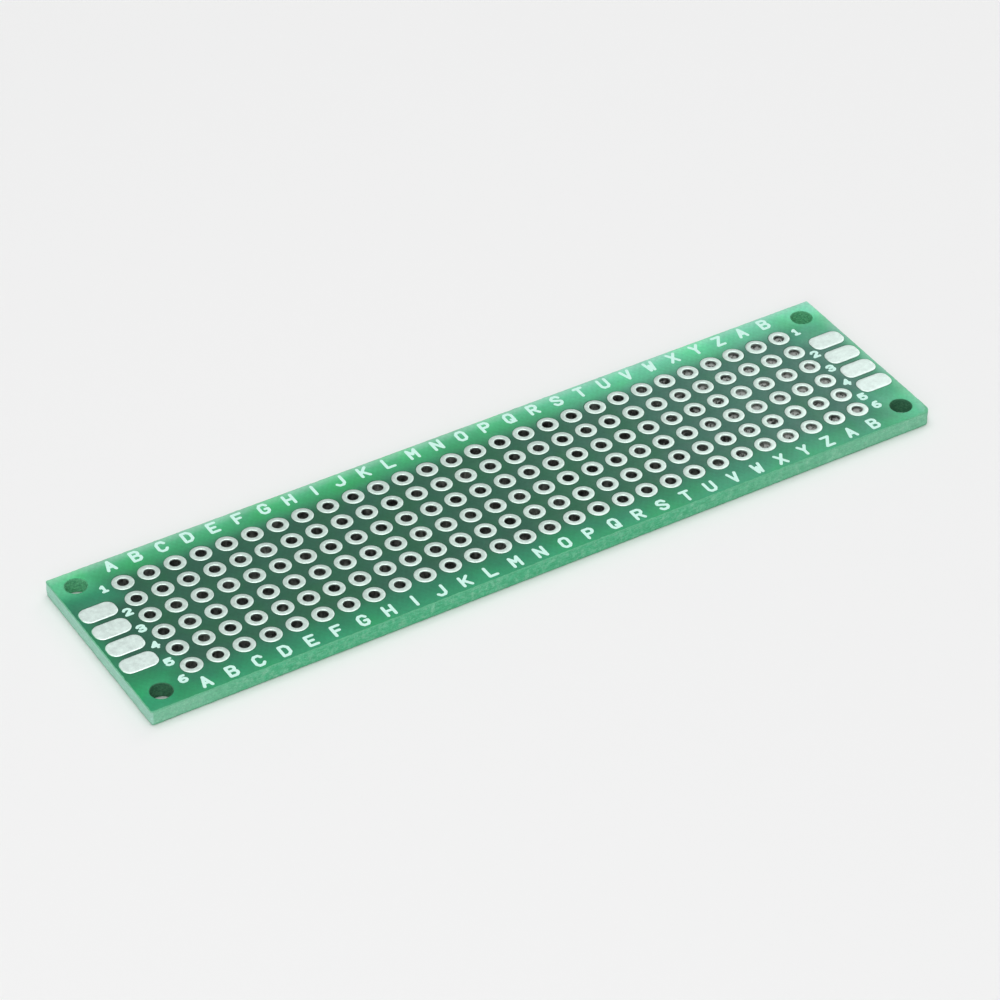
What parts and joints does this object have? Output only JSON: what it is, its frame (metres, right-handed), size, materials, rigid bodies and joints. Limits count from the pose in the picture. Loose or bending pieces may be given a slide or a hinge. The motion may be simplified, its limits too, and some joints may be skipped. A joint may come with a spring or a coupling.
{
  "type": "prototype board",
  "caption": "Narrow double-sided prototype circuit board with a full grid of plated through holes, tinned end pads, bare corner holes and printed index letters.",
  "frame": {"origin": "middle of the board's outline, at the underside of its tinned copper", "axes": "+X along the length towards the last column, +Y towards the edge with row 1, +Z out of the printed side"},
  "size_m": [0.08, 0.02, 0.0016],
  "materials": {
    "laminate": "matte",
    "solder_mask": "gloss",
    "tinned_copper": "satin",
    "legend_ink": "satin"
  },
  "bodies": {
    "root": {"laminate": "laminate", "solder_mask_top": "solder_mask", "solder_mask_bottom": "solder_mask", "column_01_plated_holes": "tinned_copper", "column_02_plated_holes": "tinned_copper", "column_03_plated_holes": "tinned_copper", "column_04_plated_holes": "tinned_copper", "column_05_plated_holes": "tinned_copper", "column_06_plated_holes": "tinned_copper", "column_07_plated_holes": "tinned_copper", "column_08_plated_holes": "tinned_copper", "column_09_plated_holes": "tinned_copper", "column_10_plated_holes": "tinned_copper", "column_11_plated_holes": "tinned_copper", "column_12_plated_holes": "tinned_copper", "column_13_plated_holes": "tinned_copper", "column_14_plated_holes": "tinned_copper", "column_15_plated_holes": "tinned_copper", "column_16_plated_holes": "tinned_copper", "column_17_plated_holes": "tinned_copper", "column_18_plated_holes": "tinned_copper", "column_19_plated_holes": "tinned_copper", "column_20_plated_holes": "tinned_copper", "column_21_plated_holes": "tinned_copper", "column_22_plated_holes": "tinned_copper", "column_23_plated_holes": "tinned_copper", "column_24_plated_holes": "tinned_copper", "column_25_plated_holes": "tinned_copper", "column_26_plated_holes": "tinned_copper", "column_27_plated_holes": "tinned_copper", "column_28_plated_holes": "tinned_copper", "end_pad_left_top_1": "tinned_copper", "end_pad_left_top_2": "tinned_copper", "end_pad_left_top_3": "tinned_copper", "end_pad_left_top_4": "tinned_copper", "end_pad_left_bottom_1": "tinned_copper", "end_pad_left_bottom_2": "tinned_copper", "end_pad_left_bottom_3": "tinned_copper", "end_pad_left_bottom_4": "tinned_copper", "end_pad_right_top_1": "tinned_copper", "end_pad_right_top_2": "tinned_copper", "end_pad_right_top_3": "tinned_copper", "end_pad_right_top_4": "tinned_copper", "end_pad_right_bottom_1": "tinned_copper", "end_pad_right_bottom_2": "tinned_copper", "end_pad_right_bottom_3": "tinned_copper", "end_pad_right_bottom_4": "tinned_copper", "legend_top": "legend_ink"}
  },
  "joints": []
}
